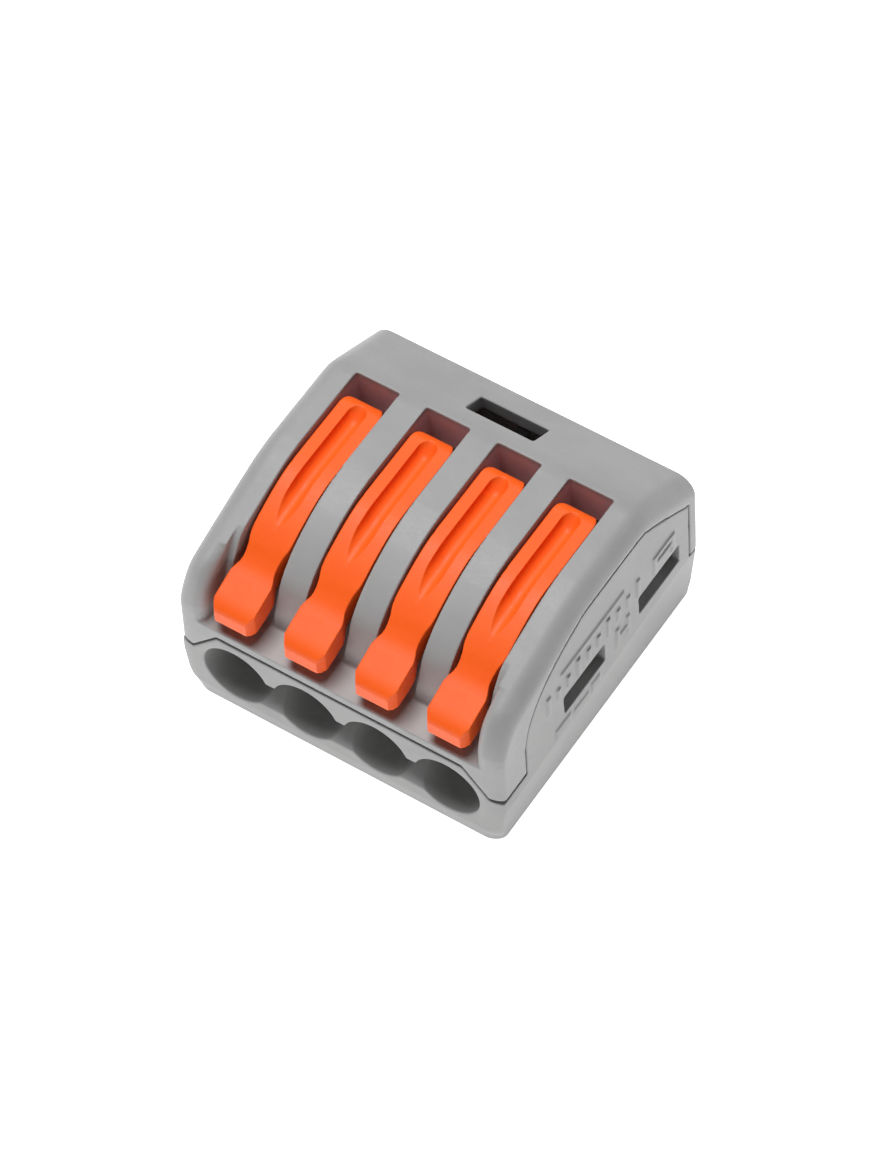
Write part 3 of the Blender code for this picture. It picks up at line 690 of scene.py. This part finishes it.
GREY = plastic("grey_cover", (0.325, 0.325, 0.325), dark=(0.305, 0.306, 0.307),
               light=(0.34, 0.34, 0.34), rough=0.5, grain=5200.0, spec=0.45)
GREY_BASE = plastic("grey_base", (0.32, 0.32, 0.318), dark=(0.30, 0.30, 0.30),
                    light=(0.335, 0.335, 0.332), rough=0.52, grain=5200.0, spec=0.45)
ORANGE = plastic("orange_lever", (0.96, 0.118, 0.01), dark=(0.93, 0.105, 0.008),
                 light=(0.98, 0.132, 0.013), rough=0.45, grain=6400.0, spec=0.25)
STEEL = metal("spring_steel", (0.62, 0.61, 0.59), rough=0.28, streak=(1.0, 0.06, 0.06))
TIN = metal("tin_plate", (0.74, 0.73, 0.70), rough=0.34, streak=(0.06, 1.0, 1.0))
# Paint light bounced off the orange levers onto the cover's slot walls
paint_slot_bounce_light(GREY)

# ---------------------------------------------------------------- assembly
base = make_base()
dress(base.data, GREY_BASE)
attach(base, "housing")
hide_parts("base")

cover = make_cover()
dress(cover.data, GREY)
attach(cover, "housing")
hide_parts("cover")

skin = lever_mesh()
dress(skin, ORANGE)
for i, x in enumerate(WAY_X):
    lever = bpy.data.objects.new(f"lever_skin_{i + 1}", skin.copy())
    bpy.context.scene.collection.objects.link(lever)
    lever.location = (x * MM, 0.0, 0.0)
    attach(lever, f"lever_body_{i + 1}")
    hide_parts(f"lever_{i + 1}")

for i in range(len(WAY_X)):
    node_name = f"cage_spring_{i + 1}"
    bow, leg = spring_pieces(frame["nodes"][node_name], i + 1)
    for piece, anchor, keep in ((bow, BOW_FIXED_Z, BOW_KEEP), (leg, LEG_FIXED_Z, LEG_KEEP)):
        dress(piece.data, STEEL)
        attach(piece, "housing")
        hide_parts(node_name)
        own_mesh(piece)
dress(frame["nodes"]["busbar"].data, TIN)


# ---------------------------------------------------------------- stage, light, camera
def stage():
    """Round white floor that also glows, so that the housing's lower faces are lit."""
    bm = bmesh.new()
    bmesh.ops.create_circle(bm, cap_ends=True, segments=96, radius=1.2)
    floor = link("floor", bm, 1.0)
    floor.location = (0.0, 0.0, -0.00005)
    mat = bpy.data.materials.new("pale_floor")
    mat.use_nodes = True
    shader = mat.node_tree.nodes["Principled BSDF"]
    shader.inputs["Base Color"].default_value = (0.93, 0.93, 0.93, 1)
    shader.inputs["Roughness"].default_value = 0.8
    shader.inputs["Emission Color"].default_value = (1, 1, 1, 1)
    shader.inputs["Emission Strength"].default_value = 0.95
    floor.data.materials.append(mat)


def area(name, place, aim, size, power):
    """Round soft lamp; lengths in metres, power in watts."""
    data = bpy.data.lights.new(name, "AREA")
    data.shape = "DISK"
    data.size = size
    data.energy = power
    lamp = bpy.data.objects.new(name, data)
    lamp.location = place
    lamp.rotation_euler = (Vector(aim) - Vector(place)).to_track_quat("-Z", "Y").to_euler()
    bpy.context.scene.collection.objects.link(lamp)


def camera():
    """Looks down at the part from its front right, with a slight roll."""
    azimuth, elevation, roll = (math.radians(angle) for angle in CAMERA_TURN)
    level = math.cos(elevation)
    back = Vector((math.sin(azimuth) * level, -math.cos(azimuth) * level, math.sin(elevation)))
    right = Vector((math.cos(azimuth), math.sin(azimuth), 0.0))
    up = back.cross(right)
    right, up = (right * math.cos(roll) + up * math.sin(roll),
                 up * math.cos(roll) - right * math.sin(roll))
    offset_x, offset_y = CAMERA_OFFSET
    place = Vector(CAMERA_AIM) - right * offset_x - up * offset_y + back * CAMERA_DISTANCE
    data = bpy.data.cameras.new("camera")
    data.sensor_fit = "VERTICAL"
    data.sensor_height = CAMERA_SENSOR
    data.lens = CAMERA_LENS
    data.clip_start = 0.01
    data.clip_end = 20.0
    cam = bpy.data.objects.new("camera", data)
    turn = Matrix((right, up, back)).transposed().to_4x4()
    cam.matrix_world = Matrix.Translation(place * MM) @ turn
    bpy.context.scene.collection.objects.link(cam)
    bpy.context.scene.camera = cam


def world():
    """Weak white surroundings."""
    studio = bpy.data.worlds.new("studio")
    bpy.context.scene.world = studio
    studio.use_nodes = True
    background = studio.node_tree.nodes["Background"]
    background.inputs["Color"].default_value = (1.0, 1.0, 1.0, 1)
    background.inputs["Strength"].default_value = 0.12


stage()
world()
area("key", place=(-0.1, 0.035, 0.49), aim=(0, 0, 0.005), size=0.3, power=2.6)
camera()
bpy.context.scene.view_settings.view_transform = "Standard"
bpy.context.scene.view_settings.look = "None"
